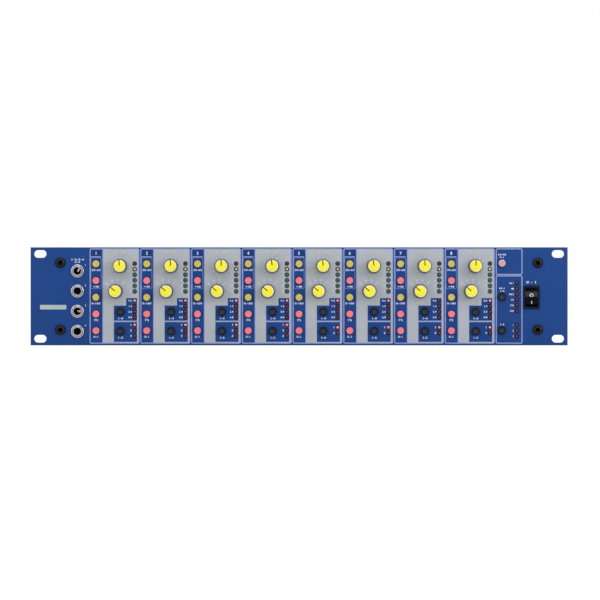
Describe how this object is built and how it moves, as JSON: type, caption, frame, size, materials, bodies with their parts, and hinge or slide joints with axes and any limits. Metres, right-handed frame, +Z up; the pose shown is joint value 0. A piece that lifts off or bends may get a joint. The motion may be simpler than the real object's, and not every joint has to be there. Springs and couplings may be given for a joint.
{
  "type": "rack microphone preamplifier",
  "caption": "Two-unit rack audio interface with a blue front panel of knobs, lit buttons, LEDs, jacks and a mains rocker.",
  "frame": {"origin": "centre of the four rack slots, on the rear face of the front panel", "axes": "+X to the right as seen from the front, +Y towards the back of the case, +Z up"},
  "size_m": [0.4826, 0.2962, 0.0882],
  "materials": {
    "screw_zinc": "zinc plated",
    "case_black": "textured powder coat",
    "button_black": "satin",
    "board_green": "lacquered",
    "black_plastic": "moulded",
    "lens_pink": "translucent lens",
    "lens_red": "translucent lens",
    "panel_blue": "satin paint",
    "socket_black": "moulded",
    "knob_black": "black body with a yellow cap",
    "can_grey": "drawn can",
    "jack_nickel": "bright nickel",
    "led_amber": "tinted",
    "led_green": "tinted",
    "led_red": "tinted",
    "led_red_lit": "tinted",
    "connector_steel": "plated",
    "winding": "wound and taped",
    "screw_black": "black oxide",
    "lens_yellow": "translucent lens",
    "wire_grey": "insulated"
  },
  "bodies": {
    "unit": {"case_fasteners": "screw_zinc", "chassis_tray": "case_black", "control_board": "board_green", "control_bodies": "black_plastic", "front_panel": "panel_blue", "input_transformers": "can_grey", "jack_hardware": "jack_nickel", "jack_sockets": "black_plastic", "leds_amber": "led_amber", "leds_green": "led_green", "leds_red": "led_red", "leds_red_lit": "led_red_lit", "line_connectors": "connector_steel", "main_board": "board_green", "mains_inlet": "socket_black", "mains_transformer": "winding", "mic_cores": "socket_black", "mic_sockets": "socket_black", "option_plate": "case_black", "panel_screws": "screw_black", "power_board": "board_green", "rear_panel": "case_black", "switch_bezel": "black_plastic", "top_cover": "case_black", "wiring": "wire_grey"},
    "range_button_1": {"range_button_1": "lens_yellow"},
    "range_buttons_2_to_8": {"range_buttons_2_to_8": "lens_yellow"},
    "phantom_button_1": {"phantom_button_1": "lens_red"},
    "phantom_buttons_2_to_8": {"phantom_buttons_2_to_8": "lens_red"},
    "phase_button_1": {"phase_button_1": "lens_yellow"},
    "phase_buttons_2_to_8": {"phase_buttons_2_to_8": "lens_yellow"},
    "filter_button_1": {"filter_button_1": "lens_red"},
    "filter_buttons_2_to_8": {"filter_buttons_2_to_8": "lens_red"},
    "insert_button_1": {"insert_button_1": "lens_red"},
    "insert_buttons_2_to_8": {"insert_buttons_2_to_8": "lens_red"},
    "impedance_button_1": {"impedance_button_1": "button_black"},
    "impedance_buttons_2_to_8": {"impedance_buttons_2_to_8": "button_black"},
    "input_button_1": {"input_button_1": "button_black"},
    "input_buttons_2_to_8": {"input_buttons_2_to_8": "button_black"},
    "converter_button": {"converter_button": "lens_pink"},
    "clock_button": {"clock_button": "button_black"},
    "sync_button": {"sync_button": "button_black"},
    "trim_knob_1": {"trim_knob_1": "knob_black"},
    "trim_knob_2": {"trim_knob_2": "knob_black"},
    "trim_knob_3": {"trim_knob_3": "knob_black"},
    "trim_knob_4": {"trim_knob_4": "knob_black"},
    "trim_knob_5": {"trim_knob_5": "knob_black"},
    "trim_knob_6": {"trim_knob_6": "knob_black"},
    "trim_knob_7": {"trim_knob_7": "knob_black"},
    "trim_knob_8": {"trim_knob_8": "knob_black"},
    "gain_knob_1": {"gain_knob_1": "knob_black"},
    "gain_knob_2": {"gain_knob_2": "knob_black"},
    "gain_knob_3": {"gain_knob_3": "knob_black"},
    "gain_knob_4": {"gain_knob_4": "knob_black"},
    "gain_knob_5": {"gain_knob_5": "knob_black"},
    "gain_knob_6": {"gain_knob_6": "knob_black"},
    "gain_knob_7": {"gain_knob_7": "knob_black"},
    "gain_knob_8": {"gain_knob_8": "knob_black"},
    "power_rocker": {"power_rocker": "black_plastic"},
    "fuse_drawer": {"fuse_drawer": "socket_black"}
  },
  "joints": [
    {"name": "range_button_1_press", "type": "slide", "parent": "unit", "child": "range_button_1", "axis": [0, 1, 0], "range_m": [0, 0.002], "stiffness_N_per_m": 1000},
    {"name": "range_buttons_2_to_8_press", "type": "slide", "parent": "unit", "child": "range_buttons_2_to_8", "axis": [0, 1, 0], "range_m": [0, 0.002], "stiffness_N_per_m": 1000},
    {"name": "phantom_button_1_press", "type": "slide", "parent": "unit", "child": "phantom_button_1", "axis": [0, 1, 0], "range_m": [0, 0.002], "stiffness_N_per_m": 1000},
    {"name": "phantom_buttons_2_to_8_press", "type": "slide", "parent": "unit", "child": "phantom_buttons_2_to_8", "axis": [0, 1, 0], "range_m": [0, 0.002], "stiffness_N_per_m": 1000},
    {"name": "phase_button_1_press", "type": "slide", "parent": "unit", "child": "phase_button_1", "axis": [0, 1, 0], "range_m": [0, 0.002], "stiffness_N_per_m": 1000},
    {"name": "phase_buttons_2_to_8_press", "type": "slide", "parent": "unit", "child": "phase_buttons_2_to_8", "axis": [0, 1, 0], "range_m": [0, 0.002], "stiffness_N_per_m": 1000},
    {"name": "filter_button_1_press", "type": "slide", "parent": "unit", "child": "filter_button_1", "axis": [0, 1, 0], "range_m": [0, 0.002], "stiffness_N_per_m": 1000},
    {"name": "filter_buttons_2_to_8_press", "type": "slide", "parent": "unit", "child": "filter_buttons_2_to_8", "axis": [0, 1, 0], "range_m": [0, 0.002], "stiffness_N_per_m": 1000},
    {"name": "insert_button_1_press", "type": "slide", "parent": "unit", "child": "insert_button_1", "axis": [0, 1, 0], "range_m": [0, 0.002], "stiffness_N_per_m": 1000},
    {"name": "insert_buttons_2_to_8_press", "type": "slide", "parent": "unit", "child": "insert_buttons_2_to_8", "axis": [0, 1, 0], "range_m": [0, 0.002], "stiffness_N_per_m": 1000},
    {"name": "impedance_button_1_press", "type": "slide", "parent": "unit", "child": "impedance_button_1", "axis": [0, 1, 0], "range_m": [0, 0.002], "stiffness_N_per_m": 1000},
    {"name": "impedance_buttons_2_to_8_press", "type": "slide", "parent": "unit", "child": "impedance_buttons_2_to_8", "axis": [0, 1, 0], "range_m": [0, 0.002], "stiffness_N_per_m": 1000},
    {"name": "input_button_1_press", "type": "slide", "parent": "unit", "child": "input_button_1", "axis": [0, 1, 0], "range_m": [0, 0.002], "stiffness_N_per_m": 1000},
    {"name": "input_buttons_2_to_8_press", "type": "slide", "parent": "unit", "child": "input_buttons_2_to_8", "axis": [0, 1, 0], "range_m": [0, 0.002], "stiffness_N_per_m": 1000},
    {"name": "converter_button_press", "type": "slide", "parent": "unit", "child": "converter_button", "axis": [0, 1, 0], "range_m": [0, 0.002], "stiffness_N_per_m": 1000},
    {"name": "clock_button_press", "type": "slide", "parent": "unit", "child": "clock_button", "axis": [0, 1, 0], "range_m": [0, 0.002], "stiffness_N_per_m": 1000},
    {"name": "sync_button_press", "type": "slide", "parent": "unit", "child": "sync_button", "axis": [0, 1, 0], "range_m": [0, 0.002], "stiffness_N_per_m": 1000},
    {"name": "trim_knob_1_turn", "type": "hinge", "parent": "unit", "child": "trim_knob_1", "pos_m": [-0.16085, 0, 0.0271], "axis": [0, 1, 0], "range_deg": [-145, 155]},
    {"name": "trim_knob_2_turn", "type": "hinge", "parent": "unit", "child": "trim_knob_2", "pos_m": [-0.11525, 0, 0.0271], "axis": [0, 1, 0], "range_deg": [-150, 150]},
    {"name": "trim_knob_3_turn", "type": "hinge", "parent": "unit", "child": "trim_knob_3", "pos_m": [-0.06965, 0, 0.0271], "axis": [0, 1, 0], "range_deg": [-147, 153]},
    {"name": "trim_knob_4_turn", "type": "hinge", "parent": "unit", "child": "trim_knob_4", "pos_m": [-0.02405, 0, 0.0271], "axis": [0, 1, 0], "range_deg": [-142, 158]},
    {"name": "trim_knob_5_turn", "type": "hinge", "parent": "unit", "child": "trim_knob_5", "pos_m": [0.02155, 0, 0.0271], "axis": [0, 1, 0], "range_deg": [-146, 154]},
    {"name": "trim_knob_6_turn", "type": "hinge", "parent": "unit", "child": "trim_knob_6", "pos_m": [0.06715, 0, 0.0271], "axis": [0, 1, 0], "range_deg": [-141, 159]},
    {"name": "trim_knob_7_turn", "type": "hinge", "parent": "unit", "child": "trim_knob_7", "pos_m": [0.11275, 0, 0.0271], "axis": [0, 1, 0], "range_deg": [-147, 153]},
    {"name": "trim_knob_8_turn", "type": "hinge", "parent": "unit", "child": "trim_knob_8", "pos_m": [0.15835, 0, 0.0271], "axis": [0, 1, 0], "range_deg": [-150, 150]},
    {"name": "gain_knob_1_turn", "type": "hinge", "parent": "unit", "child": "gain_knob_1", "pos_m": [-0.16485, 0, 0.0045], "axis": [0, 1, 0], "range_deg": [0, 90]},
    {"name": "gain_knob_2_turn", "type": "hinge", "parent": "unit", "child": "gain_knob_2", "pos_m": [-0.11925, 0, 0.0045], "axis": [0, 1, 0], "range_deg": [0, 90]},
    {"name": "gain_knob_3_turn", "type": "hinge", "parent": "unit", "child": "gain_knob_3", "pos_m": [-0.07365, 0, 0.0045], "axis": [0, 1, 0], "range_deg": [0, 90]},
    {"name": "gain_knob_4_turn", "type": "hinge", "parent": "unit", "child": "gain_knob_4", "pos_m": [-0.02805, 0, 0.0045], "axis": [0, 1, 0], "range_deg": [0, 90]},
    {"name": "gain_knob_5_turn", "type": "hinge", "parent": "unit", "child": "gain_knob_5", "pos_m": [0.01755, 0, 0.0045], "axis": [0, 1, 0], "range_deg": [0, 90]},
    {"name": "gain_knob_6_turn", "type": "hinge", "parent": "unit", "child": "gain_knob_6", "pos_m": [0.06315, 0, 0.0045], "axis": [0, 1, 0], "range_deg": [0, 90]},
    {"name": "gain_knob_7_turn", "type": "hinge", "parent": "unit", "child": "gain_knob_7", "pos_m": [0.10875, 0, 0.0045], "axis": [0, 1, 0], "range_deg": [0, 90]},
    {"name": "gain_knob_8_turn", "type": "hinge", "parent": "unit", "child": "gain_knob_8", "pos_m": [0.15435, 0, 0.0045], "axis": [0, 1, 0], "range_deg": [0, 90]},
    {"name": "power_rocker_tilt", "type": "hinge", "parent": "unit", "child": "power_rocker", "pos_m": [0.2088, -0.0015, -0.0009], "axis": [1, 0, 0], "range_deg": [0, 22]},
    {"name": "fuse_drawer_pull", "type": "slide", "parent": "unit", "child": "fuse_drawer", "axis": [0, 1, 0], "range_m": [0, 0.016]}
  ]
}
